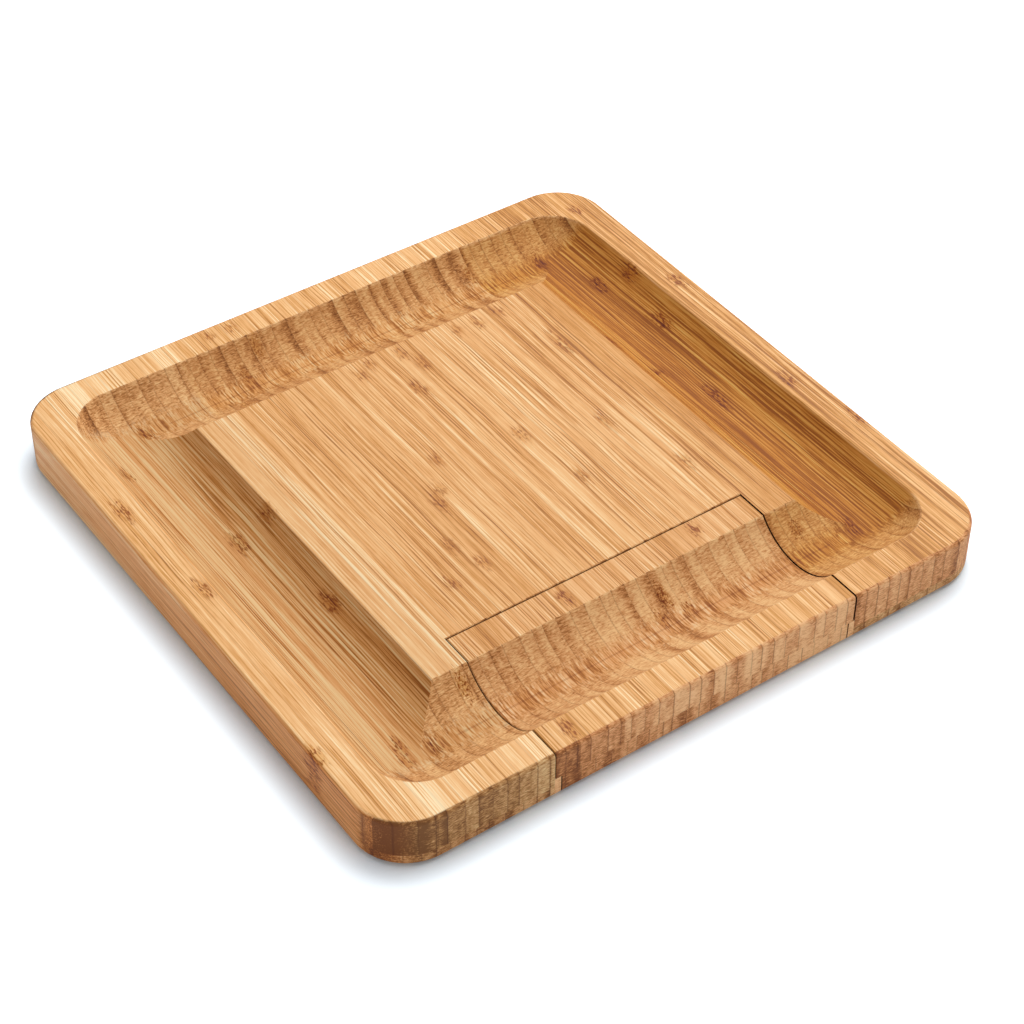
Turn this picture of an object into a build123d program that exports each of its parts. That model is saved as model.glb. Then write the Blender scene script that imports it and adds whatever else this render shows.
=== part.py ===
from build123d import *
import os

# A square cheese board. A cove runs all round a flat platform, and a drawer that holds
# four cheese tools slides out of the front edge, with its own length of the cove.
# The front is -Y, up is +Z, and the origin is on the table, under the board's centre.
# Lengths are in millimetres.

# The board as a whole
board_side = 330.0
board_thickness = 26.0
board_corner_radius = 26.0
top_edge_radius = 2.0
foot_edge_radius = 3.0
rim_width = 17.0
cove_width = 48.0
cove_depth = 12.0
cove_edge_radius = 0.8

# The drawer's bay in the body, and the layers that the body is glued up from
bay_width = 164.0
bay_back_wall = 14.0
drawer_platform_depth = 17.0
roof_thickness = 8.0
base_thickness = 6.5
runner_width = 3.2
runner_height = 11.0

# The drawer
seam_gap = 0.6
roof_gap = 0.5
table_gap = 0.5
seam_arris = 0.4
floor_thickness = 3.0
end_wall = 9.0
router_radius = 4.0
finger_well_length = 24.0
finger_well_side_wall = 6.0
finger_well_depth = 9.5
finger_well_share = 0.49

# The tools, which lie side by side with their handles towards the front. A blade's
# lengths are shares of it, and the handle's length is a share of the whole tool.
tool_room = 1.5
tool_end_room = 2.5
rest_gap = 0.1
handle_share = 0.45
handle_thickness = 11.0
handle_butt_width = 15.0
handle_neck_width = 12.0
handle_butt_radius = 5.0
handle_chamfer = 2.0
collar_length = 4.0
glue_gap = 0.05
tang_share = 0.5
tang_width = 5.0
blade_thickness = 1.6
blade_pocket_gap = 0.3
neck_width = 7.0
neck_share = 0.16
shoulder_share = 0.18
edge_thickness = 0.4
fork_width = 16.0
fork_gap = 7.0
prong_share = 0.5
prong_tip_share = 0.12
spreader_width = 20.0
spreader_grind = 3.0
chisel_width = 32.0
chisel_grind = 6.0
spade_width = 28.0
spade_grind = 4.0

# Places that follow from those sizes
front_y = -board_side / 2
back_y = board_side / 2
notch_depth = rim_width + cove_width + drawer_platform_depth
notch_y = front_y + notch_depth
bay_end_y = back_y - rim_width - cove_width - bay_back_wall
bay_depth = bay_end_y - front_y
roof_z = board_thickness - roof_thickness
cove_path_side = board_side - 2 * rim_width - cove_width
cutter_radius = (cove_width**2 / 4 + cove_depth**2) / (2 * cove_depth)
cutter_z = board_thickness - cove_depth + cutter_radius

drawer_width = bay_width - 2 * seam_gap
drawer_foot_width = drawer_width - 2 * runner_width
drawer_front_end_y = notch_y - seam_gap
drawer_end_y = bay_end_y - seam_gap
tray_top_z = roof_z - roof_gap
drawer_inner_y = (drawer_front_end_y + drawer_end_y) / 2

tool_length = drawer_end_y - drawer_front_end_y - 2 * (end_wall + tool_end_room)
handle_length = handle_share * tool_length
blade_length = tool_length - handle_length - collar_length
tang_length = tang_share * handle_length
neck_length = neck_share * blade_length
shoulder_end = neck_length + shoulder_share * blade_length
butt_y = drawer_inner_y - tool_length / 2
collar_y = butt_y + handle_length
shoulder_y = collar_y + collar_length
handle_floor_z = table_gap + floor_thickness
tool_z = handle_floor_z + rest_gap + handle_thickness / 2
blade_floor_z = tool_z - blade_thickness / 2 - blade_pocket_gap
finger_floor_z = tray_top_z - finger_well_depth
finger_well_y = butt_y + finger_well_share * handle_length
finger_well_width = drawer_foot_width - 2 * finger_well_side_wall

# The blades' pockets share the drawer's width out with equal walls between them
blade_widths = {
    "fork": fork_width,
    "spreader": spreader_width,
    "chisel": chisel_width,
    "spade": spade_width,
}
pocket_widths = {tool: width + 2 * tool_room for tool, width in blade_widths.items()}
pocket_wall = (drawer_foot_width - sum(pocket_widths.values())) / (len(pocket_widths) + 1)
tool_x = {}
pocket_left = pocket_wall - drawer_foot_width / 2
for tool, width in pocket_widths.items():
    tool_x[tool] = pocket_left + width / 2
    pocket_left += width + pocket_wall

os.makedirs("parts", exist_ok=True)


def save(part, name):
    part.label = name
    export_step(part, f"parts/{name}.step")


# The whole board as one blank: rounded slab with the cove cut round it. The body's
# panels and the drawer front are cut from it, so the cove and the edges run on
# across every seam. A dished cutter makes the cove, round a square path.
with BuildPart() as board_blank:
    with BuildSketch():
        RectangleRounded(board_side, board_side, board_corner_radius)
    extrude(amount=board_thickness)
    fillet(board_blank.faces().sort_by(Axis.Z)[-1].edges(), top_edge_radius)
    fillet(board_blank.faces().sort_by(Axis.Z)[0].edges(), foot_edge_radius)
    for plane in (Plane.XZ, Plane.YZ):
        with BuildSketch(plane):
            with Locations((-cove_path_side / 2, cutter_z), (cove_path_side / 2, cutter_z)):
                Circle(cutter_radius)
        extrude(amount=cove_path_side / 2, both=True, mode=Mode.SUBTRACT)
    with Locations((0, 0, cutter_z)):
        with GridLocations(cove_path_side, cove_path_side, 2, 2):
            Sphere(cutter_radius, mode=Mode.SUBTRACT)
    top_faces = board_blank.faces().filter_by(Plane.XY).group_by(Axis.Z)[-1].sort_by(SortBy.AREA)
    platform_edges = top_faces[-1].edges()
    rim_edges = top_faces[0].inner_wires()[0].edges()
    fillet(platform_edges + rim_edges, cove_edge_radius)

# Side panels: the full height above the base layer, left and right of the bay
side_panel_width = (board_side - bay_width) / 2
for side, sign in (("left", -1), ("right", 1)):
    side_x = sign * (bay_width + side_panel_width) / 2
    with BuildPart() as side_panel:
        add(board_blank.part)
        with BuildSketch(Plane.XY.offset(base_thickness)):
            with Locations((side_x, 0)):
                Rectangle(side_panel_width, board_side)
        extrude(amount=board_thickness - base_thickness, mode=Mode.INTERSECT)
    save(side_panel.part, f"side_panel_{side}")

    with BuildPart() as base:
        add(board_blank.part)
        with BuildSketch():
            with Locations((side_x, 0)):
                Rectangle(side_panel_width, board_side)
        extrude(amount=base_thickness, mode=Mode.INTERSECT)
    save(base.part, f"base_{side}")

    # Runner: a light strip glued in the lower corner of the bay, on which the
    # drawer's overhang slides. Its end grain shows at the front.
    with BuildPart() as runner:
        add(board_blank.part)
        with BuildSketch():
            with Locations((sign * (bay_width - runner_width) / 2, front_y + bay_depth / 2)):
                Rectangle(runner_width, bay_depth)
        extrude(amount=runner_height, mode=Mode.INTERSECT)
    save(runner.part, f"runner_{side}")

# Centre panel: a roof over the drawer, and the full height behind the bay
with BuildPart() as centre_panel:
    add(board_blank.part)
    with BuildSketch(Plane.YZ):
        with Locations((notch_y, roof_z)):
            Rectangle(back_y - notch_y, roof_thickness, align=(Align.MIN, Align.MIN))
        with Locations((bay_end_y, base_thickness)):
            Rectangle(back_y - bay_end_y, board_thickness - base_thickness, align=(Align.MIN, Align.MIN))
    extrude(amount=bay_width / 2, both=True, mode=Mode.INTERSECT)
    notch_edge = centre_panel.edges().filter_by(Axis.X).group_by(Axis.Y)[0].sort_by(Axis.Z)[-1]
    chamfer(notch_edge, seam_arris)
save(centre_panel.part, "centre_panel")

with BuildPart() as base_back:
    add(board_blank.part)
    with BuildSketch():
        with Locations((0, (bay_end_y + back_y) / 2)):
            Rectangle(bay_width, back_y - bay_end_y)
    extrude(amount=base_thickness, mode=Mode.INTERSECT)
save(base_back.part, "base_back")

# Drawer front: the upper block, with its length of the rim, the cove and the platform
with BuildPart() as drawer_front:
    add(board_blank.part)
    with BuildSketch(Plane.XY.offset(runner_height)):
        with Locations((0, (front_y + drawer_front_end_y) / 2)):
            Rectangle(drawer_width, drawer_front_end_y - front_y)
    extrude(amount=board_thickness - runner_height, mode=Mode.INTERSECT)
    seam_edges = drawer_front.faces().filter_by(Axis.X).edges()
    rear_edges = drawer_front.faces().sort_by(Axis.Y)[-1].edges()
    above_glue = (runner_height, board_thickness, (False, True))
    chamfer((seam_edges + rear_edges).filter_by_position(Axis.Z, *above_glue), seam_arris)
save(drawer_front.part, "drawer_front")


# Pockets for the tools: a slot for each handle and, ahead of it, a wider one for
# its blade, with a finger well across all four handles. Each is as wide as what
# it holds and a little room, and has the router's round corners.
def pocket(x, width, start_y, end_y):
    with Locations((x, (start_y + end_y) / 2)):
        RectangleRounded(width, end_y - start_y, min(router_radius, width / 3))


def handle_pockets():
    for x in tool_x.values():
        pocket(x, handle_butt_width + 2 * tool_room, butt_y - tool_end_room, shoulder_y + tool_room)


def blade_pockets():
    for tool, width in pocket_widths.items():
        pocket(tool_x[tool], width, shoulder_y, shoulder_y + blade_length + tool_end_room)


def finger_well():
    start_y = finger_well_y - finger_well_length / 2
    pocket(0, finger_well_width, start_y, start_y + finger_well_length)


with BuildPart() as pocket_cutter:
    for outline, floor_z in (
        (handle_pockets, handle_floor_z),
        (blade_pockets, blade_floor_z),
        (finger_well, finger_floor_z),
    ):
        with BuildSketch(Plane.XY.offset(floor_z)):
            outline()
        extrude(amount=tray_top_z - floor_z)

# Drawer base: the lower slab, between the runners, under the front block and the tray
with BuildPart() as drawer_base:
    add(board_blank.part)
    with BuildSketch(Plane.XY.offset(table_gap)):
        with Locations((0, (front_y + drawer_end_y) / 2)):
            Rectangle(drawer_foot_width, drawer_end_y - front_y)
    extrude(amount=runner_height - table_gap, mode=Mode.INTERSECT)
    add(pocket_cutter.part, mode=Mode.SUBTRACT)
save(drawer_base.part, "drawer_base")

# Drawer tray: the thinned upper layer behind the front block. The pockets go
# right through it, and it overhangs the base on to the runners.
with BuildPart() as drawer_tray:
    with BuildSketch(Plane.XY.offset(runner_height)):
        with Locations((0, drawer_inner_y)):
            Rectangle(drawer_width, drawer_end_y - drawer_front_end_y)
    extrude(amount=tray_top_z - runner_height)
    add(pocket_cutter.part, mode=Mode.SUBTRACT)
save(drawer_tray.part, "drawer_tray")

# Handles: slabs of the same bamboo that taper to the neck, with a round butt, a
# chamfer all along and a slot for the tang
slot_width = tang_width + 2 * glue_gap
slot_thickness = blade_thickness + 2 * glue_gap
slot_length = tang_length - collar_length + glue_gap
for tool, x in tool_x.items():
    with BuildPart() as handle:
        with BuildSketch(Plane((x, butt_y, tool_z))) as handle_outline:
            with BuildLine():
                Polyline(
                    (0, 0),
                    (handle_butt_width / 2, 0),
                    (handle_neck_width / 2, handle_length),
                    (0, handle_length),
                )
                mirror(about=Plane.YZ)
            make_face()
            fillet(handle_outline.vertices().group_by(Axis.Y)[0], handle_butt_radius)
        extrude(amount=handle_thickness / 2, both=True)
        long_edges = handle.faces().filter_by(Axis.Z).edges()
        chamfer(long_edges - long_edges.group_by(Axis.Y)[-1], handle_chamfer)
        with Locations((x, collar_y - slot_length / 2, tool_z)):
            Box(slot_width, slot_length, slot_thickness, mode=Mode.SUBTRACT)
    save(handle.part, f"{tool}_handle")

    # Collar: a steel block with a slot, slid over the tang against the handle's end,
    # with the same chamfered section
    with BuildPart() as collar:
        with BuildSketch(Plane((x, collar_y, tool_z), x_dir=(-1, 0, 0), z_dir=(0, 1, 0))):
            block = Rectangle(handle_neck_width, handle_thickness)
            chamfer(block.vertices(), handle_chamfer)
            Rectangle(slot_width, slot_thickness, mode=Mode.SUBTRACT)
        extrude(amount=collar_length)
    save(collar.part, f"{tool}_collar")


# Blades: each outline is drawn as its right half, from the end of the tang forwards,
# and mirrored. The ground edges are long, shallow chamfers.
def blade_plane(tool):
    return Plane((tool_x[tool], shoulder_y, tool_z))


def tang_and_neck():
    return Polyline(
        (0, -tang_length),
        (tang_width / 2, -tang_length),
        (tang_width / 2, 0),
        (neck_width / 2, 0),
        (neck_width / 2, neck_length),
    )


grind_depth = (blade_thickness - edge_thickness) / 2

# Fork: two prongs with points that lean outwards
with BuildPart() as fork_blade:
    with BuildSketch(blade_plane("fork")):
        with BuildLine():
            root_y = blade_length * (1 - prong_share)
            neck = tang_and_neck()
            shoulder = TangentArc(neck @ 1, (fork_width / 2, shoulder_end), tangent=(0, 1))
            prong = Polyline(
                shoulder @ 1,
                (fork_width / 2, blade_length),
                (fork_gap / 2, blade_length * (1 - prong_tip_share)),
                (fork_gap / 2, root_y + fork_gap / 2),
            )
            TangentArc(prong @ 1, (0, root_y), tangent=(0, -1))
            mirror(about=Plane.YZ)
        make_face()
    extrude(amount=blade_thickness / 2, both=True)
save(fork_blade.part, "fork_blade")

# Spreader: a long blade with a round end, ground on both faces
with BuildPart() as spreader_blade:
    with BuildSketch(blade_plane("spreader")):
        with BuildLine():
            neck = tang_and_neck()
            shoulder = TangentArc(neck @ 1, (spreader_width / 2, shoulder_end), tangent=(0, 1))
            side = Line(shoulder @ 1, (spreader_width / 2, blade_length - spreader_width / 2))
            TangentArc(side @ 1, (0, blade_length), tangent=(0, 1))
            mirror(about=Plane.YZ)
        make_face()
    extrude(amount=blade_thickness / 2, both=True)
    for face_index in (0, -1):
        flat = spreader_blade.faces().sort_by(Axis.Z)[face_index]
        past_shoulder = (shoulder_y + shoulder_end, shoulder_y + blade_length)
        ground_edges = flat.edges().filter_by_position(Axis.Y, *past_shoulder)
        chamfer(ground_edges, spreader_grind, grind_depth, reference=flat)
save(spreader_blade.part, "spreader_blade")

# Chisel: flares to a wide straight edge, ground on its upper face
with BuildPart() as chisel_blade:
    with BuildSketch(blade_plane("chisel")):
        with BuildLine():
            neck = tang_and_neck()
            flare = TangentArc(neck @ 1, (chisel_width / 2, blade_length), tangent=(0, 1))
            Line(flare @ 1, (0, blade_length))
            mirror(about=Plane.YZ)
        make_face()
    extrude(amount=blade_thickness / 2, both=True)
    flat = chisel_blade.faces().sort_by(Axis.Z)[-1]
    ground_edges = flat.edges().group_by(Axis.Y)[-1]
    chamfer(ground_edges, chisel_grind, blade_thickness - edge_thickness, reference=flat)
save(chisel_blade.part, "chisel_blade")

# Spade: a pointed leaf for hard cheese, ground along both sides
with BuildPart() as spade_blade:
    with BuildSketch(blade_plane("spade")):
        with BuildLine():
            neck = tang_and_neck()
            ThreePointArc(neck @ 1, (spade_width / 2, (neck_length + blade_length) / 2), (0, blade_length))
            mirror(about=Plane.YZ)
        make_face()
    extrude(amount=blade_thickness / 2, both=True)
    for face_index in (0, -1):
        flat = spade_blade.faces().sort_by(Axis.Z)[face_index]
        chamfer(flat.edges().filter_by(GeomType.CIRCLE), spade_grind, grind_depth, reference=flat)
save(spade_blade.part, "spade_blade")
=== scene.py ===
import math
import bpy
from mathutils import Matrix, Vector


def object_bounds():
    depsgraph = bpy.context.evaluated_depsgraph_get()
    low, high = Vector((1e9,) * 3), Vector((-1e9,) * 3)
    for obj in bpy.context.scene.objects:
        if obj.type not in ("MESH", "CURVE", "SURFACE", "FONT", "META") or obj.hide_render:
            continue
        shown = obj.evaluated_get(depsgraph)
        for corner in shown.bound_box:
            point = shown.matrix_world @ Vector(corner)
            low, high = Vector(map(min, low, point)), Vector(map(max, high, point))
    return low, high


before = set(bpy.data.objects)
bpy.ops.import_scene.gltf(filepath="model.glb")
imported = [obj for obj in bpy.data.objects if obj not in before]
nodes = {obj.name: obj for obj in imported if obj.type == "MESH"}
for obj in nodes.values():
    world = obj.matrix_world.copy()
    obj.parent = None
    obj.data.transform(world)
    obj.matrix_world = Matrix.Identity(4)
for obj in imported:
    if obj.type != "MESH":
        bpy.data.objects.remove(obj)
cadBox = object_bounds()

from types import SimpleNamespace

import bpy
from mathutils import Quaternion, Vector

# A square bamboo cheese board with a cove round its platform and a drawer of cheese
# tools in its front edge. Every shape comes with the frame; this script gives the
# finishes, the floor, the light and the camera.

tools = ["fork", "spreader", "chisel", "spade"]
mmPerMetre = 1000.0  # the scene is in metres, the patterns are sized in mm
print("frame loaded:", len(nodes), "pieces")


def linear(hexColour):
    # sRGB hex to the linear colour that shaders and lamps take
    steps = [int(hexColour[i:i + 2], 16) / 255 for i in (1, 3, 5)]
    return [s / 12.92 if s <= 0.04045 else ((s + 0.055) / 1.055) ** 2.4 for s in steps] + [1.0]


def addNode(tree, kind, inputs=None, **settings):
    # one node with its settings; an input is a value, the socket that feeds it, or a node
    # whose first output does
    node = tree.nodes.new(kind)
    for name, value in settings.items():
        setattr(node, name, value)
    for name, value in (inputs or {}).items():
        if isinstance(value, bpy.types.Node):
            value = value.outputs[0]
        if isinstance(value, bpy.types.NodeSocket):
            tree.links.new(value, node.inputs[name])
        else:
            node.inputs[name].default_value = value
    return node


# Camera, at the height and turn from which the board was photographed.
camera = {
    "place": (-0.4948, -0.7154, 0.7901),  # m
    "target": (-0.0114, -0.0331, 0.026),  # m
    "roll": 0.36,  # degrees
    "lens": 87.3,  # mm
    "sensorWidth": 36,  # mm
}
cameraData = bpy.data.cameras.new("camera")
cameraData.lens = camera["lens"]
cameraData.sensor_width = camera["sensorWidth"]
cameraObject = bpy.data.objects.new("camera", cameraData)
look = (Vector(camera["target"]) - Vector(camera["place"])).to_track_quat("-Z", "Y")
roll = Quaternion((0, 0, 1), math.radians(camera["roll"]))
cameraObject.rotation_euler = (look @ roll).to_euler()
cameraObject.location = camera["place"]
bpy.context.collection.objects.link(cameraObject)
bpy.context.scene.camera = cameraObject
print("camera set")


# Bamboo, planed into strips, glued up on edge, sanded and oiled. The strips run along
# Y. Long grain shows close, straight fibres, pale and dark, with a brown, feathered
# node here and there. Where a face cuts across the strips, the ends of their fibres
# ripple, and each strip is darker towards the side that was its skin.
bamboo = {
    # strips
    "stripWidth": 7.0,  # mm
    "stripSpread": 0.8,  # 0 makes all strips the same width
    "stripTone": (-0.11, 0.22),  # of the darkest strip, and the span from it to the palest
    "stripFigure": (0.65, 0.75),  # contrast of the plainest strip's fibres, and the span to the most
    "stripApart": 90.0,  # mm, by which the strips can lie apart in the pattern, so that they differ
    "skinReach": (0.3, 1.0),  # of a strip's width, between which its skin side darkens
    # grain
    "fibreWidth": 0.7,  # mm
    "fibreLength": 85.0,  # mm
    "fleckLength": 9.0,  # mm, of the short pale and dark flecks among the fibres
    "bandWidth": 2.6,  # mm, the broader pale and dark bands within a strip
    "bandLength": 260.0,  # mm
    "bandHeightShare": 0.4,  # of the bands' change across the strip, in height
    "rippleHeight": 0.62,  # mm, in the end grain
    "rippleWidth": 2.6,  # mm
    "rippleCurl": 0.7,
    "grainRoughness": 0.6,
    "wander": 0.9,  # mm, by which a fibre swings to the side
    "wanderRate": (0.05, 0.018, 0.05),  # swings per mm across, along and up the strips
    # colours: each part of the grain moves the tone by its weight, from dark at 0 to pale at 1
    "longGrain": {0.0: "#A0611F", 0.25: "#CF9046", 0.5: "#E9B072", 0.75: "#F4C68D", 1.0: "#FCE3B6"},
    "longMiddle": 0.5,
    "longWeights": {"skin": -0.1, "bands": 0.48, "fibres": 2.0, "flecks": 0.4},
    "endGrain": {0.0: "#7C4A20", 0.3: "#B27842", 0.6: "#D9A067", 1.0: "#F5CC92"},
    "endMiddle": 0.47,
    "endWeights": {"skin": -0.45, "bands": 0.5, "fibres": 0.3, "ripples": 1.5},
    "endFacing": (0.02, 0.4),  # how squarely a face cuts the strips, from long grain to end grain
    "endColour": "#FAEBEC",  # the board's sawn front and back are a little redder than the cove
    "sideFacing": (0.3, 0.8),  # the same for the board's two sides
    "sideColour": "#FFE5D2",  # they show the warm skin side of their strips
    # painted light: the sides are made this much paler
    "sidePaintedLight": 0.08,
    "sideReach": 120.0,  # mm to the front and to the back, over which the painted light on the sides changes
    # nodes of the culm
    "markWidth": 4.0,  # mm, from the middle of a node to its side
    "markFade": (0.35, 1.2),  # of its half width and half length, between which it fades out
    "markRagged": 20.0,  # mm, by which its ends are torn
    "markColour": "#EBD9B3",  # what a node takes away from the colour, over its patch
    "markShare": 0.85,
    "dashWidth": 0.95,  # mm, of the dark dashes in a node
    "dashShape": 0.28,  # width of a dash as a share of its length
    "dashCurl": 0.5,
    "dashLevels": (0.36, 0.54),  # of the pattern, between which a dash fades out
    "lineColour": "#B0853E",  # what the dashes take away, and the router's line
    # glue
    "glueColour": "#8A6440",
    "glueReach": (0.015, 0.08),  # of a strip's width, between which the line fades out
    "glueStrength": (0.14, 0.55),  # on long grain, and what the strongest line in end grain adds
    # cove and platform
    "coveReach": 150.0,  # mm, from the middle of the board
    "platformReach": 104.0,  # mm
    "platformShare": 0.4,  # of the cove's darker tint, oil and painted shade, on the platform
    "sandedTop": (24.6, 25.8),  # mm, between which that tone fades out
    "coveBottom": (8.0, 13.5),  # mm, between which it fades in
    "coveToneShare": 0.25,  # of endTones, on the cut ends inside the board
    "coveFigure": 0.5,  # by which the fibres' contrast is stronger in the cove
    "coveGlueLoss": 0.5,  # by which the glue lines are weaker there
    "coveRougher": 0.14,  # the router's work is sanded less finely
    "coveLine": (123.3, 103.0),  # mm, the router's line along the cove: its y, its reach in x
    "coveLineHeight": (14.5, 1.0),  # mm, its z, plus or minus
    "coveLineWidth": (-0.1, 1.2),  # mm, at its finest, and what the flecks add to it
    "coveLineShare": 0.35,
    # painted shade in the seams round the drawer
    "seamSides": (80.0, 2.6),  # mm, where the walls of the seams beside it stand: x, plus or minus
    "seamBack": (-83.3, 1.2),  # mm, and behind it: y, plus or minus
    "seamFacing": 0.9,  # least share of the normal that points out of such a wall
    "seamDepth": (1.0, 1.8),  # mm, between which the painted shade of the walls fades out
    "seamShadeColour": "#4A3626",
    "seamBackShadeShare": 0.45,  # of that painted shade in the seam behind the drawer
    "coveArc": (124.0, 44.0, 30.0),  # mm, the cove's middle in y, its centre in z, its radius
    # surface
    "roughness": (0.47, 0.6),  # of long grain and of end grain
    "fibreRougher": 0.16,
    "fibreRelief": 0.25,  # strength of the bump
    "fibreDepth": 0.0001,  # m
    "refraction": 1.33,  # index, low because the oil is thin and dry
}


# The bamboo's nodes are added part by part. spot holds what later parts need to know of the
# point that is shaded: where it lies, how it faces, and the grain there.


def addStrips(tree, spot, panel):
    # each strip is one cell, with three random numbers of its own
    across = addNode(tree, "ShaderNodeMath", {0: spot.x, 1: panel["shift"]}, operation="ADD")
    stripInputs = {"W": across, "Scale": 1 / bamboo["stripWidth"], "Randomness": bamboo["stripSpread"]}
    strip = addNode(tree, "ShaderNodeTexVoronoi", stripInputs, voronoi_dimensions="1D", feature="F1")
    seam = addNode(
        tree, "ShaderNodeTexVoronoi", stripInputs, voronoi_dimensions="1D", feature="DISTANCE_TO_EDGE"
    )
    chances = addNode(tree, "ShaderNodeSeparateColor", {0: strip.outputs["Color"]})
    spot.toneChance, spot.grainChance, spot.sideChance = chances.outputs
    spot.glueLine = addNode(
        tree, "ShaderNodeMapRange",
        {
            "Value": seam.outputs["Distance"],
            "From Min": bamboo["glueReach"][0],
            "From Max": bamboo["glueReach"][1],
            "To Min": 1.0,
            "To Max": 0.0,
        },
    )

    # from 0 at a strip's pith side to 1 at its skin side; half of the strips are turned round
    offMiddle = addNode(tree, "ShaderNodeMath", {0: across, 1: strip.outputs["W"]}, operation="SUBTRACT")
    turned = addNode(tree, "ShaderNodeMath", {0: spot.sideChance, 1: 0.5}, operation="GREATER_THAN")
    direction = addNode(tree, "ShaderNodeMath", {0: turned, 1: 2.0, 2: -1.0}, operation="MULTIPLY_ADD")
    sided = addNode(tree, "ShaderNodeMath", {0: offMiddle, 1: direction}, operation="MULTIPLY")
    spot.skinSide = addNode(
        tree, "ShaderNodeMapRange",
        {"Value": sided, "From Min": -bamboo["stripWidth"] / 2, "From Max": bamboo["stripWidth"] / 2},
    )
    nearSkin = addNode(
        tree, "ShaderNodeMapRange",
        {"Value": spot.skinSide, "From Min": bamboo["skinReach"][0], "From Max": bamboo["skinReach"][1]},
        interpolation_type="SMOOTHSTEP",
    )
    spot.skinDark = addNode(
        tree, "ShaderNodeMath", {0: nearSkin, 1: spot.grainChance}, operation="MULTIPLY"
    )


def addGrain(tree, spot):
    # the fibres swing a little to the side, and differ from strip to strip
    swingPlace = addNode(
        tree, "ShaderNodeVectorMath", {0: spot.place, 1: bamboo["wanderRate"]}, operation="MULTIPLY"
    )
    swing = addNode(tree, "ShaderNodeTexNoise", {"Vector": swingPlace, "Scale": 1.0, "Detail": 1.0})
    spot.swungX = addNode(
        tree, "ShaderNodeMath", {0: swing.outputs["Fac"], 1: 2 * bamboo["wander"], 2: spot.x},
        operation="MULTIPLY_ADD",
    )
    ownZ = addNode(
        tree, "ShaderNodeMath", {0: spot.grainChance, 1: bamboo["stripApart"], 2: spot.z},
        operation="MULTIPLY_ADD",
    )
    grainPlace = addNode(tree, "ShaderNodeCombineXYZ", {"X": spot.swungX, "Y": spot.y, "Z": ownZ})

    # fibres, flecks, bands and dashes are noise drawn out along the strip, ripples lie
    # across it: width in mm, the shares by which it is squeezed, octaves, curl
    grains = []
    for width, squeeze, octaves, curl in (
        (bamboo["fibreWidth"], (1.0, bamboo["fibreWidth"] / bamboo["fibreLength"], 1.0), 2.0, 0.0),
        (bamboo["fibreWidth"], (1.0, bamboo["fibreWidth"] / bamboo["fleckLength"], 1.0), 1.0, 0.0),
        (
            bamboo["bandWidth"],
            (1.0, bamboo["bandWidth"] / bamboo["bandLength"], bamboo["bandHeightShare"]),
            1.0, 0.0,
        ),
        (
            bamboo["rippleHeight"],
            (bamboo["rippleHeight"] / bamboo["rippleWidth"], 1.0, 1.0),
            1.0, bamboo["rippleCurl"],
        ),
        (bamboo["dashWidth"], (1.0, bamboo["dashShape"], 1.0), 1.0, bamboo["dashCurl"]),
    ):
        drawn = addNode(tree, "ShaderNodeVectorMath", {0: grainPlace, 1: squeeze}, operation="MULTIPLY")
        grain = addNode(
            tree, "ShaderNodeTexNoise",
            {
                "Vector": drawn,
                "Scale": 1 / width,
                "Detail": octaves,
                "Roughness": bamboo["grainRoughness"],
                "Distortion": curl,
            },
        )
        grains.append(grain.outputs["Fac"])
    spot.fibres, spot.flecks, spot.bands, spot.ripples, spot.dashes = grains


def addFacings(tree, spot, normal):
    # how squarely the face cuts the strips, and whether it is one of the board's outer faces
    facing = addNode(tree, "ShaderNodeSeparateXYZ", {0: normal})
    spot.facingX = addNode(tree, "ShaderNodeMath", {0: facing.outputs["X"]}, operation="ABSOLUTE")
    spot.facingY = addNode(tree, "ShaderNodeMath", {0: facing.outputs["Y"]}, operation="ABSOLUTE")
    spot.fromMiddleX = addNode(tree, "ShaderNodeMath", {0: spot.x}, operation="ABSOLUTE")
    spot.fromMiddleY = addNode(tree, "ShaderNodeMath", {0: spot.y}, operation="ABSOLUTE")
    outward = addNode(
        tree, "ShaderNodeMapRange",
        {"Value": spot.facingX, "From Min": bamboo["sideFacing"][0], "From Max": bamboo["sideFacing"][1]},
        interpolation_type="SMOOTHSTEP",
    )
    atSide = addNode(
        tree, "ShaderNodeMath", {0: spot.fromMiddleX, 1: bamboo["coveReach"]}, operation="GREATER_THAN"
    )
    spot.sideness = addNode(tree, "ShaderNodeMath", {0: outward, 1: atSide}, operation="MULTIPLY")
    spot.endness = addNode(
        tree, "ShaderNodeMapRange",
        {"Value": spot.facingY, "From Min": bamboo["endFacing"][0], "From Max": bamboo["endFacing"][1]},
        interpolation_type="SMOOTHSTEP",
    )
    spot.atEnd = addNode(
        tree, "ShaderNodeMath", {0: spot.fromMiddleY, 1: bamboo["coveReach"]}, operation="GREATER_THAN"
    )
    spot.outerEnd = addNode(tree, "ShaderNodeMath", {0: spot.endness, 1: spot.atEnd}, operation="MULTIPLY")

    # where it lies: within the rim, on the platform, or in the cove between them
    reach = addNode(
        tree, "ShaderNodeMath", {0: spot.fromMiddleX, 1: spot.fromMiddleY}, operation="MAXIMUM"
    )
    spot.inside = addNode(tree, "ShaderNodeMath", {0: reach, 1: bamboo["coveReach"]}, operation="LESS_THAN")
    spot.onPlatform = addNode(
        tree, "ShaderNodeMath", {0: reach, 1: bamboo["platformReach"]}, operation="LESS_THAN"
    )
    sunk = addNode(
        tree, "ShaderNodeMapRange",
        {
            "Value": spot.z,
            "From Min": bamboo["sandedTop"][0],
            "From Max": bamboo["sandedTop"][1],
            "To Min": 1.0,
            "To Max": 0.0,
        },
    )
    spot.inCove = addNode(tree, "ShaderNodeMath", {0: spot.inside, 1: sunk}, operation="MULTIPLY")


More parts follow.
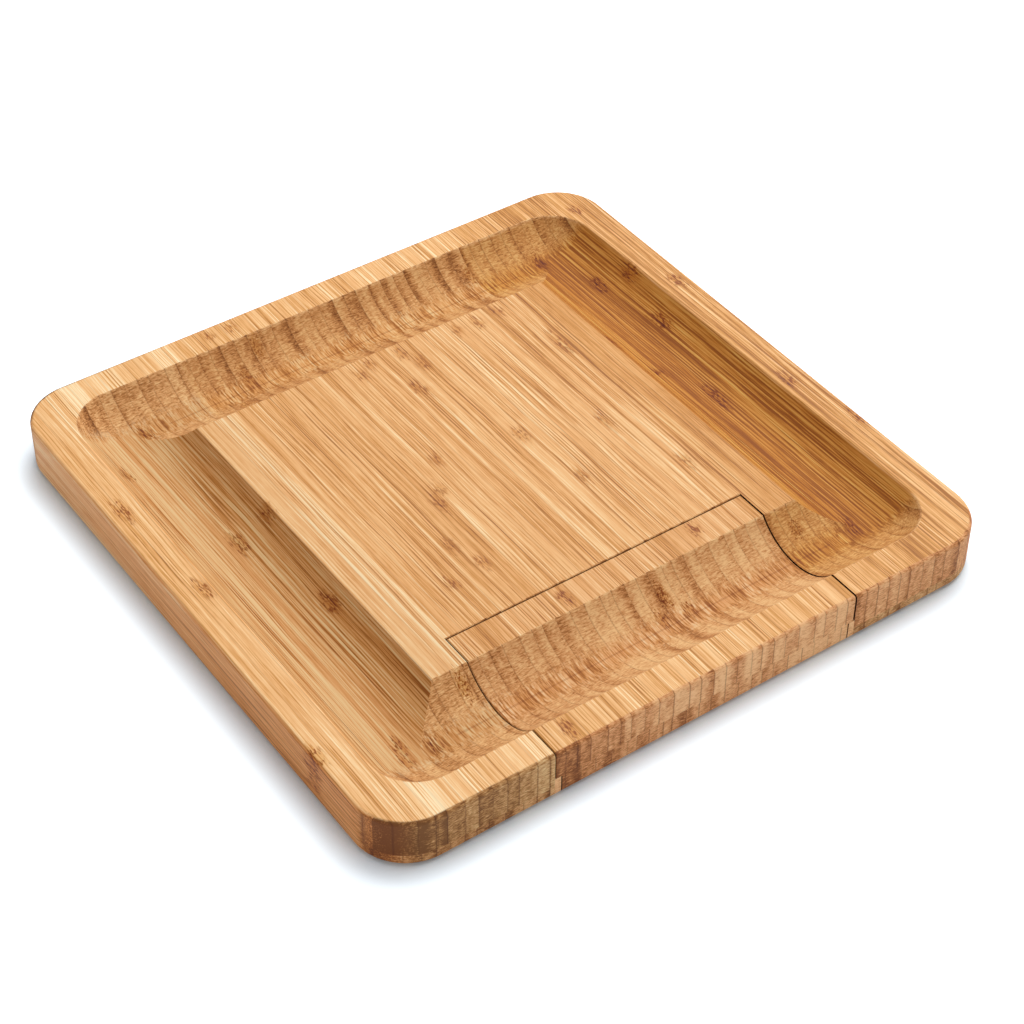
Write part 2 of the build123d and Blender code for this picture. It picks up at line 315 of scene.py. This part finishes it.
def stripTones(tree, spot, panel):
    # the tone that each grain starts from, on the long grain and on the cut ends
    darkest, paler = bamboo["stripTone"]
    stripTone = addNode(
        tree, "ShaderNodeMath", {0: spot.toneChance, 1: paler, 2: darkest}, operation="MULTIPLY_ADD"
    )
    # painted light makes the board's sides paler
    tone = addNode(
        tree, "ShaderNodeMath", {0: spot.sideness, 1: bamboo["sidePaintedLight"], 2: stripTone},
        operation="MULTIPLY_ADD",
    )
    # painted light along the outer side, darker towards the front and paler towards the back
    if "paintedSideLight" in panel:
        sideLight = addNode(
            tree, "ShaderNodeMapRange",
            {
                "Value": spot.y,
                "From Min": -bamboo["sideReach"],
                "From Max": bamboo["sideReach"],
                "To Min": panel["paintedSideLight"][0],
                "To Max": panel["paintedSideLight"][1],
            },
        )
        tone = addNode(
            tree, "ShaderNodeMath", {0: spot.sideness, 1: sideLight, 2: tone}, operation="MULTIPLY_ADD"
        )
    endShare = addNode(
        tree, "ShaderNodeMapRange",
        {"Value": spot.atEnd, "To Min": bamboo["coveToneShare"], "To Max": 1.0},
    )
    tones = {}
    for grain, share in (("long", None), ("end", endShare)):
        tones[grain] = tone
        for fromX, toX, change in panel.get(grain + "Tones", ()):
            stretch = addNode(
                tree, "ShaderNodeMath", {0: spot.x, 1: (fromX + toX) / 2, 2: (toX - fromX) / 2},
                operation="COMPARE",
            )
            if share is not None:
                stretch = addNode(tree, "ShaderNodeMath", {0: stretch, 1: share}, operation="MULTIPLY")
            tones[grain] = addNode(
                tree, "ShaderNodeMath", {0: stretch, 1: change, 2: tones[grain]}, operation="MULTIPLY_ADD"
            )
    return tones


def grainColour(tree, spot, panel):
    # some strips are plainer than others, and the router leaves all of them livelier in the cove
    plainest, livelier = bamboo["stripFigure"]
    figure = addNode(
        tree, "ShaderNodeMath", {0: spot.grainChance, 1: livelier, 2: plainest}, operation="MULTIPLY_ADD"
    )
    if "coveOilAndShade" in panel:
        figure = addNode(
            tree, "ShaderNodeMath", {0: spot.inCove, 1: bamboo["coveFigure"], 2: figure},
            operation="MULTIPLY_ADD",
        )
    evenFibres = addNode(tree, "ShaderNodeMath", {0: spot.fibres, 1: 0.5}, operation="SUBTRACT")
    ownFibres = addNode(
        tree, "ShaderNodeMath", {0: evenFibres, 1: figure, 2: 0.5}, operation="MULTIPLY_ADD"
    )

    # the colours of both grains, each on a ramp from dark to pale
    tones = stripTones(tree, spot, panel)
    longParts = {"skin": spot.skinSide, "bands": spot.bands, "fibres": ownFibres, "flecks": spot.flecks}
    endParts = {"skin": spot.skinDark, "bands": spot.bands, "fibres": spot.fibres, "ripples": spot.ripples}
    colours = []
    for grain, parts in (("long", longParts), ("end", endParts)):
        weights = bamboo[grain + "Weights"]
        middle = bamboo[grain + "Middle"] + panel[grain + "Tone"]
        shade = addNode(
            tree, "ShaderNodeMath", {0: tones[grain], 1: middle - sum(weights.values()) / 2},
            operation="ADD",
        )
        for part, weight in weights.items():
            shade = addNode(
                tree, "ShaderNodeMath", {0: parts[part], 1: weight, 2: shade}, operation="MULTIPLY_ADD"
            )
        ramp = addNode(tree, "ShaderNodeValToRGB", {"Fac": shade})
        stops = bamboo[grain + "Grain"]
        positions = sorted(stops)
        ramp.color_ramp.elements[0].color = linear(stops[positions[0]])
        ramp.color_ramp.elements[1].color = linear(stops[positions[-1]])
        for position in positions[1:-1]:
            ramp.color_ramp.elements.new(position).color = linear(stops[position])
        colours.append(ramp.outputs["Color"])
    return addNode(
        tree, "ShaderNodeMix", {"Factor": spot.endness, "A": colours[0], "B": colours[1]},
        data_type="RGBA",
    )


def markTints(tree, spot, panel):
    # a node is a brown patch across a strip, ragged at its ends, with dark feathered dashes
    raggedY = addNode(
        tree, "ShaderNodeMath", {0: spot.flecks, 1: bamboo["markRagged"], 2: spot.y},
        operation="MULTIPLY_ADD",
    )
    raggedPlace = addNode(tree, "ShaderNodeCombineXYZ", {"X": spot.swungX, "Y": raggedY})
    nearest = None
    for markX, markY, markLength in panel["marks"]:
        middle = (markX + bamboo["wander"], markY + bamboo["markRagged"] / 2, 0.0)
        fromMark = addNode(
            tree, "ShaderNodeVectorMath", {0: raggedPlace, 1: middle}, operation="SUBTRACT"
        )
        inMark = addNode(
            tree, "ShaderNodeVectorMath", {0: fromMark, 1: (1 / bamboo["markWidth"], 2 / markLength, 0.0)},
            operation="MULTIPLY",
        )
        length = addNode(tree, "ShaderNodeVectorMath", {0: inMark}, operation="LENGTH")
        distance = length.outputs["Value"]
        if nearest is None:
            nearest = distance
        else:
            nearest = addNode(tree, "ShaderNodeMath", {0: nearest, 1: distance}, operation="MINIMUM")
    patch = addNode(
        tree, "ShaderNodeMapRange",
        {
            "Value": nearest,
            "From Min": bamboo["markFade"][0],
            "From Max": bamboo["markFade"][1],
            "To Min": 1.0,
            "To Max": 0.0,
        },
        interpolation_type="SMOOTHSTEP",
    )
    dash = addNode(
        tree, "ShaderNodeMapRange",
        {
            "Value": spot.dashes,
            "From Min": bamboo["dashLevels"][0],
            "From Max": bamboo["dashLevels"][1],
            "To Min": panel["markDepth"],
            "To Max": 0.0,
        },
    )
    patchShare = addNode(tree, "ShaderNodeMath", {0: patch, 1: bamboo["markShare"]}, operation="MULTIPLY")
    dashShare = addNode(tree, "ShaderNodeMath", {0: patch, 1: dash}, operation="MULTIPLY")
    return [(patchShare, bamboo["markColour"]), (dashShare, bamboo["lineColour"])]


def glueTint(tree, spot, panel):
    # the glue line is a hair line; where the strips are cut across, some lines are stronger
    finest, stronger = bamboo["glueStrength"]
    pooled = addNode(tree, "ShaderNodeMath", {0: spot.endness, 1: spot.sideChance}, operation="MULTIPLY")
    strength = addNode(
        tree, "ShaderNodeMath", {0: pooled, 1: stronger, 2: finest}, operation="MULTIPLY_ADD"
    )
    if "coveOilAndShade" in panel:
        routedAway = addNode(
            tree, "ShaderNodeMath", {0: spot.inCove, 1: bamboo["coveGlueLoss"]}, operation="MULTIPLY"
        )
        kept = addNode(tree, "ShaderNodeMath", {0: 1.0, 1: routedAway}, operation="SUBTRACT")
        strength = addNode(tree, "ShaderNodeMath", {0: strength, 1: kept}, operation="MULTIPLY")
    share = addNode(tree, "ShaderNodeMath", {0: spot.glueLine, 1: strength}, operation="MULTIPLY")
    return share, bamboo["glueColour"]


def coveTints(tree, spot, panel):
    # the routed cove is darker than the sanded top: it took up more oil, and its hollow is given painted
    # shade
    topShare = addNode(
        tree, "ShaderNodeMath", {0: spot.onPlatform, 1: bamboo["platformShare"]}, operation="MULTIPLY"
    )
    oiledAndShaded = spot.inside
    for value, reaches, shares in (
        (spot.z, bamboo["sandedTop"], (1.0, topShare)),
        (spot.z, bamboo["coveBottom"], (0.0, 1.0)),
        (spot.endness, (0.0, 1.0), (1.0, panel["coveEndShare"])),
    ):
        taken = addNode(
            tree, "ShaderNodeMapRange",
            {
                "Value": value,
                "From Min": reaches[0],
                "From Max": reaches[1],
                "To Min": shares[0],
                "To Max": shares[1],
            },
        )
        oiledAndShaded = addNode(tree, "ShaderNodeMath", {0: oiledAndShaded, 1: taken}, operation="MULTIPLY")

    # a line runs along it where the router's passes meet
    lineY, lineReach = bamboo["coveLine"]
    lineZ, lineHeight = bamboo["coveLineHeight"]
    thinnest, wider = bamboo["coveLineWidth"]
    width = addNode(
        tree, "ShaderNodeMath", {0: spot.flecks, 1: wider, 2: thinnest}, operation="MULTIPLY_ADD"
    )
    lineDark = addNode(
        tree, "ShaderNodeMath", {0: spot.fromMiddleY, 1: lineY, 2: width}, operation="COMPARE"
    )
    within = addNode(tree, "ShaderNodeMath", {0: spot.fromMiddleX, 1: lineReach}, operation="LESS_THAN")
    lowDown = addNode(tree, "ShaderNodeMath", {0: spot.z, 1: lineZ, 2: lineHeight}, operation="COMPARE")
    for share in (bamboo["coveLineShare"], within, lowDown):
        lineDark = addNode(tree, "ShaderNodeMath", {0: lineDark, 1: share}, operation="MULTIPLY")
    return [(oiledAndShaded, panel["coveOilAndShade"]), (lineDark, bamboo["lineColour"])]


def paintedSeamShade(tree, spot):
    # painted shade: the walls of the seams round the drawer are dark just below the surface
    walls = []
    for value, facing, key, share in (
        (spot.fromMiddleX, spot.facingX, "seamSides", 1.0),
        (spot.y, spot.facingY, "seamBack", bamboo["seamBackShadeShare"]),
    ):
        middle, half = bamboo[key]
        atWall = addNode(tree, "ShaderNodeMath", {0: value, 1: middle, 2: half}, operation="COMPARE")
        upright = addNode(
            tree, "ShaderNodeMath", {0: facing, 1: bamboo["seamFacing"]}, operation="GREATER_THAN"
        )
        wall = addNode(tree, "ShaderNodeMath", {0: atWall, 1: upright}, operation="MULTIPLY")
        walls.append(addNode(tree, "ShaderNodeMath", {0: wall, 1: share}, operation="MULTIPLY"))
    wall = addNode(tree, "ShaderNodeMath", {0: walls[0], 1: walls[1]}, operation="MAXIMUM")

    # the surface above such a point is the top or the cove's arc, whichever is lower
    coveY, coveZ, coveRadius = bamboo["coveArc"]
    fromArc = addNode(tree, "ShaderNodeMath", {0: spot.fromMiddleY, 1: coveY}, operation="SUBTRACT")
    squared = addNode(tree, "ShaderNodeMath", {0: fromArc, 1: fromArc}, operation="MULTIPLY")
    underRoot = addNode(tree, "ShaderNodeMath", {0: coveRadius ** 2, 1: squared}, operation="SUBTRACT")
    withinArc = addNode(tree, "ShaderNodeMath", {0: underRoot, 1: 0.0}, operation="MAXIMUM")
    arcDrop = addNode(tree, "ShaderNodeMath", {0: withinArc}, operation="SQRT")
    arcHeight = addNode(tree, "ShaderNodeMath", {0: coveZ, 1: arcDrop}, operation="SUBTRACT")
    surfaceHeight = addNode(
        tree, "ShaderNodeMath", {0: arcHeight, 1: cadBox[1][2] * mmPerMetre}, operation="MINIMUM"
    )
    belowTop = addNode(tree, "ShaderNodeMath", {0: surfaceHeight, 1: spot.z}, operation="SUBTRACT")
    behindFront = addNode(
        tree, "ShaderNodeMath", {0: spot.y, 1: cadBox[0][1] * mmPerMetre}, operation="SUBTRACT"
    )
    depth = addNode(tree, "ShaderNodeMath", {0: belowTop, 1: behindFront}, operation="MINIMUM")
    nearEdge = addNode(
        tree, "ShaderNodeMapRange",
        {
            "Value": depth,
            "From Min": bamboo["seamDepth"][0],
            "From Max": bamboo["seamDepth"][1],
            "To Min": 1.0,
            "To Max": 0.0,
        },
    )
    share = addNode(tree, "ShaderNodeMath", {0: wall, 1: nearEdge}, operation="MULTIPLY")
    return share, bamboo["seamShadeColour"]


def bambooMaterial(name, panel):
    material = bpy.data.materials.new(name)
    material.use_nodes = True
    tree = material.node_tree
    tree.nodes.clear()
    coords = addNode(tree, "ShaderNodeTexCoord")
    spot = SimpleNamespace()
    spot.place = addNode(
        tree, "ShaderNodeVectorMath", {0: coords.outputs["Object"], "Scale": mmPerMetre}, operation="SCALE"
    )
    spot.x, spot.y, spot.z = addNode(tree, "ShaderNodeSeparateXYZ", {0: spot.place}).outputs
    addStrips(tree, spot, panel)
    addGrain(tree, spot)
    addFacings(tree, spot, coords.outputs["Normal"])

    # the grain's colour, and over it each tint by its share
    colour = grainColour(tree, spot, panel)
    tints = [
        (spot.sideness, bamboo["sideColour"]),
        (spot.outerEnd, panel.get("endColour", bamboo["endColour"])),
    ]
    if "marks" in panel:
        tints += markTints(tree, spot, panel)
    tints.append(glueTint(tree, spot, panel))
    if "coveOilAndShade" in panel:
        tints += coveTints(tree, spot, panel)
    tints.append(paintedSeamShade(tree, spot))
    for share, tint in tints:
        colour = addNode(
            tree, "ShaderNodeMix",
            {"Factor": share, "A": colour.outputs["Result"], "B": linear(tint)},
            data_type="RGBA", blend_type="MULTIPLY",
        )

    # the oil leaves the hard fibres a little glossier than the softer wood between them
    roughness = addNode(
        tree, "ShaderNodeMapRange",
        {"Value": spot.endness, "To Min": bamboo["roughness"][0], "To Max": bamboo["roughness"][1]},
    )
    roughness = addNode(
        tree, "ShaderNodeMath", {0: spot.fibres, 1: bamboo["fibreRougher"], 2: roughness},
        operation="MULTIPLY_ADD",
    )
    if "coveOilAndShade" in panel:
        roughness = addNode(
            tree, "ShaderNodeMath", {0: spot.inCove, 1: bamboo["coveRougher"], 2: roughness},
            operation="MULTIPLY_ADD",
        )
    bump = addNode(
        tree, "ShaderNodeBump",
        {"Height": spot.fibres, "Strength": bamboo["fibreRelief"], "Distance": bamboo["fibreDepth"]},
    )
    surface = addNode(
        tree, "ShaderNodeBsdfPrincipled",
        {
            "Base Color": colour.outputs["Result"],
            "Roughness": roughness,
            "IOR": bamboo["refraction"],
            "Normal": bump,
        },
    )
    addNode(tree, "ShaderNodeOutputMaterial", {"Surface": surface})
    return material


# Each glued-up layer and panel is cut from strips of its own, so it has its own tones.
# - shift, in mm, takes its strips from a place of their own in the pattern
# - longTone and endTone are how much paler its long grain and its cut ends are than plain
#   bamboo; longTones and endTones are the stretches that differ: from x, to x in mm, by how much
# - paintedSideLight is painted light on its outer side: its tone at the front and at the back
# - endColour tints its outer ends, and coveOilAndShade its cove, where the router's work took up
#   more oil and painted shade darkens the hollow; coveEndShare is how much of that the cut ends there took
# - marks are the nodes of its strips: x, y and length in mm; markDepth is how dark their dashes are
panels = {
    "bambooLeftPanel": {
        "pieces": ["side_panel_left"],
        "shift": 0.0,
        "longTone": 0.12,
        "longTones": [
            (-141, -136, 0.24), (-136, -131, 0.28), (-122, -117, 0.1), (-111, -105, -0.16),
            (-84, -82, 0.25),
        ],
        "endTone": -0.04,
        # the first two endTones stretches are painted shade on its cut ends, darkest at the left
        "endTones": [
            (-166, -82, -0.22), (-166, -140, -0.26), (-140, -106, -0.07), (-94, -82, 0.1),
            (-84, -82, 0.2),
        ],
        "paintedSideLight": (-0.25, 0.14),
        # a greyer tint on its outer ends, painted shade
        "endColour": "#EFF6FA",
        "coveOilAndShade": "#DACBB7",
        "coveEndShare": 0.2,
        "markDepth": 1.3,
        "marks": [
            (-157, 68, 18), (-152, 3, 18), (-140, 97, 10), (-119, 30, 20), (-102, 33, 13), (-116, 122, 10),
            (-107, -30, 16), (-127, -115, 11), (-129, -124, 8), (-114, -124, 9), (-163, -109, 14),
            (-88, -106, 10),
        ],
    },
    "bambooRightPanel": {
        "pieces": ["side_panel_right"],
        "shift": 508.0,
        "longTone": -0.2,
        "longTones": [(117, 128, -0.12)],
        "endTone": -0.03,
        "endTones": [(82, 89, -0.2), (128, 166, -0.1)],
        "coveOilAndShade": "#DCC588",
        "coveEndShare": 0.6,
        "markDepth": 1.3,
        "marks": [
            (118, 126, 16), (132, 93, 17), (145, 85, 15), (138, 48, 20), (151, 141, 9), (112, 18, 9),
            (104, 45, 14), (158, 62, 14), (119, -120, 16), (126, -11, 26), (153, -31, 14), (94, -110, 6),
            (163, -72, 18),
        ],
    },
    "bambooCentrePanel": {
        "pieces": ["centre_panel"],
        "shift": 911.0,
        "longTone": 0.0,
        "endTone": -0.02,
        "coveOilAndShade": "#E8DAC5",
        "coveEndShare": 0.7,
        "markDepth": 0.8,
        "marks": [
            (-42, 143, 12), (-55, 130, 18), (-67, 112, 8), (-60, 158, 9), (-48, 157, 9), (-15, 89, 11),
            (-7, 94, 11), (-20, 17, 12), (-30, -1, 11), (-35, -9, 13), (2, 66, 11), (10, 92, 11),
            (15, 80, 16), (4, 62, 9), (-47, -36, 11), (-41, -52, 12), (-60, -56, 10), (43, 92, 9),
            (55, 91, 11), (68, 93, 11), (23, 8, 14), (62, -5, 16), (80, 54, 26), (87, 10, 12),
            (92, 48, 14), (30, -31, 12), (75, -50, 14), (81, 136, 11),
        ],
    },
    "bambooDrawer": {
        "pieces": ["drawer_front"],
        "shift": 1707.0,
        "longTone": -0.08,
        "endTone": 0.06,
        "endTones": [(-82, -69, -0.54), (-69, -46, -0.26), (2, 40, 0.14), (60, 82, 0.08)],
        "coveOilAndShade": "#E8DAD2",
        "coveEndShare": 0.6,
        "markDepth": 1.3,
        "marks": [
            (-24, -91, 13), (-69, -155, 14), (50, -90, 15), (17, -110, 11), (10, -118, 7), (24, -121, 9),
        ],
    },
    "bambooBaseLayer": {
        "pieces": ["base_left", "base_right", "base_back"],
        "shift": 1303.0,
        "longTone": -0.08,
        "endTone": -0.14,
        "endTones": [(-166, -100, -0.15)],
        "paintedSideLight": (-0.06, 0.3),
        "endColour": "#F2F2F4",
    },
    "bambooDrawerBase": {
        "pieces": ["drawer_base"],
        "shift": 2104.0,
        "longTone": -0.1,
        "endTone": 0.04,
        "endTones": [(-82, -69, -0.5), (-69, -28, -0.28), (44, 78, 0.12)],
    },
    "bambooTray": {
        "pieces": ["drawer_tray"],
        "shift": 1707.0,
        "longTone": -0.06,
        "endTone": -0.04,
    },
    "bambooRunner": {
        "pieces": ["runner_left", "runner_right"],
        "shift": 2505.0,
        "longTone": 0.12,
        "endTone": 0.25,
    },
    "bambooHandle": {
        "pieces": [f"{tool}_handle" for tool in tools],
        "shift": 2908.0,
        "longTone": -0.22,
        "endTone": -0.1,
    },
}
for name, panel in panels.items():
    material = bambooMaterial(name, panel)
    for piece in panel["pieces"]:
        nodes[piece].material_slots[0].material = material
print("bamboo done")

# Stainless steel. The blades have a satin grind, fine lines along them that break the
# light up and darken it in places. The collars are buffed smoother and brighter.
steels = {
    "blade": {
        "dark": "#94979B",
        "pale": "#C3C5C7",
        "roughness": (0.26, 0.44),
        "lineWidth": 0.4,  # mm
        "lineDepth": 0.00002,  # m
    },
    "collar": {
        "dark": "#A4A6A9",
        "pale": "#CDCECF",
        "roughness": (0.14, 0.26),
        "lineWidth": 0.6,  # mm
        "lineDepth": 0.000006,  # m
    },
}
grind = {
    "along": 12.0,  # mm of the pattern to a metre of steel, which draws the lines out along it
    "octaves": 3.0,
    "roughness": 0.7,
    "relief": 0.5,  # strength of the bump
    "patches": 90.0,  # per metre, where the steel was wiped more or less
    "patchOctaves": 2.0,
    "levels": (0.75, 1.25),  # of lines and patches together, from dark to pale
}
for part, steel in steels.items():
    material = bpy.data.materials.new(f"stainlessSteel{part.capitalize()}")
    material.use_nodes = True
    tree = material.node_tree
    tree.nodes.clear()
    coords = addNode(tree, "ShaderNodeTexCoord")
    lengthwise = addNode(
        tree, "ShaderNodeVectorMath",
        {0: coords.outputs["Object"], 1: (mmPerMetre, grind["along"], mmPerMetre)},
        operation="MULTIPLY",
    )
    lines = addNode(
        tree, "ShaderNodeTexNoise",
        {
            "Vector": lengthwise,
            "Scale": 1 / steel["lineWidth"],
            "Detail": grind["octaves"],
            "Roughness": grind["roughness"],
        },
    )
    wiped = addNode(
        tree, "ShaderNodeTexNoise",
        {"Vector": coords.outputs["Object"], "Scale": grind["patches"], "Detail": grind["patchOctaves"]},
    )
    worn = addNode(
        tree, "ShaderNodeMath", {0: lines.outputs["Fac"], 1: wiped.outputs["Fac"]}, operation="ADD"
    )
    share = addNode(
        tree, "ShaderNodeMapRange",
        {"Value": worn, "From Min": grind["levels"][0], "From Max": grind["levels"][1]},
    )
    shine = addNode(
        tree, "ShaderNodeMix", {"Factor": share, "A": linear(steel["dark"]), "B": linear(steel["pale"])},
        data_type="RGBA",
    )
    roughness = addNode(
        tree, "ShaderNodeMapRange",
        {"Value": share, "To Min": steel["roughness"][1], "To Max": steel["roughness"][0]},
    )
    bump = addNode(
        tree, "ShaderNodeBump",
        {"Height": lines.outputs["Fac"], "Strength": grind["relief"], "Distance": steel["lineDepth"]},
    )
    surface = addNode(
        tree, "ShaderNodeBsdfPrincipled",
        {"Base Color": shine.outputs["Result"], "Metallic": 1.0, "Roughness": roughness, "Normal": bump},
    )
    addNode(tree, "ShaderNodeOutputMaterial", {"Surface": surface})
    for tool in tools:
        nodes[f"{tool}_{part}"].material_slots[0].material = material
print("steel done")

# Floor and light: a white sweep under one large softbox, high on the right, with a weak
# one at the front left, in a white room. The floor keeps its shadow and is lifted to white
# only for what looks at it; near the board the lift fades out, a painted contact shadow.
studio = {
    "floorSide": 4.0,  # m
    "floorDrop": 0.0001,  # m, so that it never shows through the underside
    "floorColour": "#EAF6FE",
    "floorRoughness": 0.9,
    "floorLift": 0.66,  # strength of the white that is added
    "liftColour": "#F0F4F9",
    "contactReach": 0.02,  # m, the lift fades out nearer to the board than this, a painted contact shadow
    "contactLevels": (0.5, 0.97),  # share of open sky, from no lift to the full one
    "contactRays": 8,
    "roomColour": "#FFFFFF",
    "roomLight": 0.33,  # strength of the light that it sheds, next to how white it looks
    "lampPlace": (1.15, 0.6, 1.75),  # m
    "lampSize": 2.2,  # m
    "lampPower": 53.0,  # W
    "fillPlace": (-0.5, -1.2, 0.4),  # m
    "fillSize": 0.7,  # m
    "fillPower": 3.0,  # W
}


def seenDirectly(tree):
    # 1 for the camera, reflections and glass, 0 for the light that falls on the board
    seenBy = addNode(tree, "ShaderNodeLightPath")
    direct = addNode(
        tree, "ShaderNodeMath", {0: seenBy.outputs["Is Camera Ray"], 1: seenBy.outputs["Is Glossy Ray"]},
        operation="ADD",
    )
    return addNode(
        tree, "ShaderNodeMath", {0: direct, 1: seenBy.outputs["Is Transmission Ray"]},
        operation="ADD", use_clamp=True,
    )


floorMaterial = bpy.data.materials.new("whitePaperSweep")
floorMaterial.use_nodes = True
floorTree = floorMaterial.node_tree
floorTree.nodes.clear()
# painted contact shadow: the lift fades out where the board hides the sky from the floor
openness = addNode(
    floorTree, "ShaderNodeAmbientOcclusion", {"Distance": studio["contactReach"]},
    samples=studio["contactRays"],
)
openLift = addNode(
    floorTree, "ShaderNodeMapRange",
    {
        "Value": openness.outputs["AO"],
        "From Min": studio["contactLevels"][0],
        "From Max": studio["contactLevels"][1],
        "To Max": studio["floorLift"],
    },
)
lift = addNode(floorTree, "ShaderNodeMath", {0: seenDirectly(floorTree), 1: openLift}, operation="MULTIPLY")
paper = addNode(
    floorTree, "ShaderNodeBsdfPrincipled",
    {
        "Base Color": linear(studio["floorColour"]),
        "Roughness": studio["floorRoughness"],
        "Emission Color": linear(studio["liftColour"]),
        "Emission Strength": lift,
    },
)
addNode(floorTree, "ShaderNodeOutputMaterial", {"Surface": paper})

floorMesh = bpy.data.meshes.new("floor")
half = studio["floorSide"] / 2
corners = [(-half, -half), (half, -half), (half, half), (-half, half)]
floorMesh.from_pydata([(x, y, -studio["floorDrop"]) for x, y in corners], [], [(0, 1, 2, 3)])
floorMesh.materials.append(floorMaterial)
floor = bpy.data.objects.new("floor", floorMesh)
bpy.context.collection.objects.link(floor)

world = bpy.data.worlds.new("whiteRoom")
bpy.context.scene.world = world
world.use_nodes = True
worldTree = world.node_tree
worldTree.nodes.clear()
roomStrength = addNode(
    worldTree, "ShaderNodeMapRange",
    {"Value": seenDirectly(worldTree), "To Min": studio["roomLight"], "To Max": 1.0},
)
room = addNode(
    worldTree, "ShaderNodeBackground", {"Color": linear(studio["roomColour"]), "Strength": roomStrength}
)
addNode(worldTree, "ShaderNodeOutputWorld", {"Surface": room})

for lamp in ("lamp", "fill"):
    softbox = bpy.data.lights.new(lamp, "AREA")
    softbox.energy = studio[lamp + "Power"]
    softbox.size = studio[lamp + "Size"]
    softboxObject = bpy.data.objects.new(lamp, softbox)
    softboxObject.location = studio[lamp + "Place"]
    softboxObject.rotation_euler = (-softboxObject.location).to_track_quat("-Z", "Y").to_euler()
    bpy.context.collection.objects.link(softboxObject)
bpy.context.scene.view_settings.view_transform = "Standard"
print("studio done")
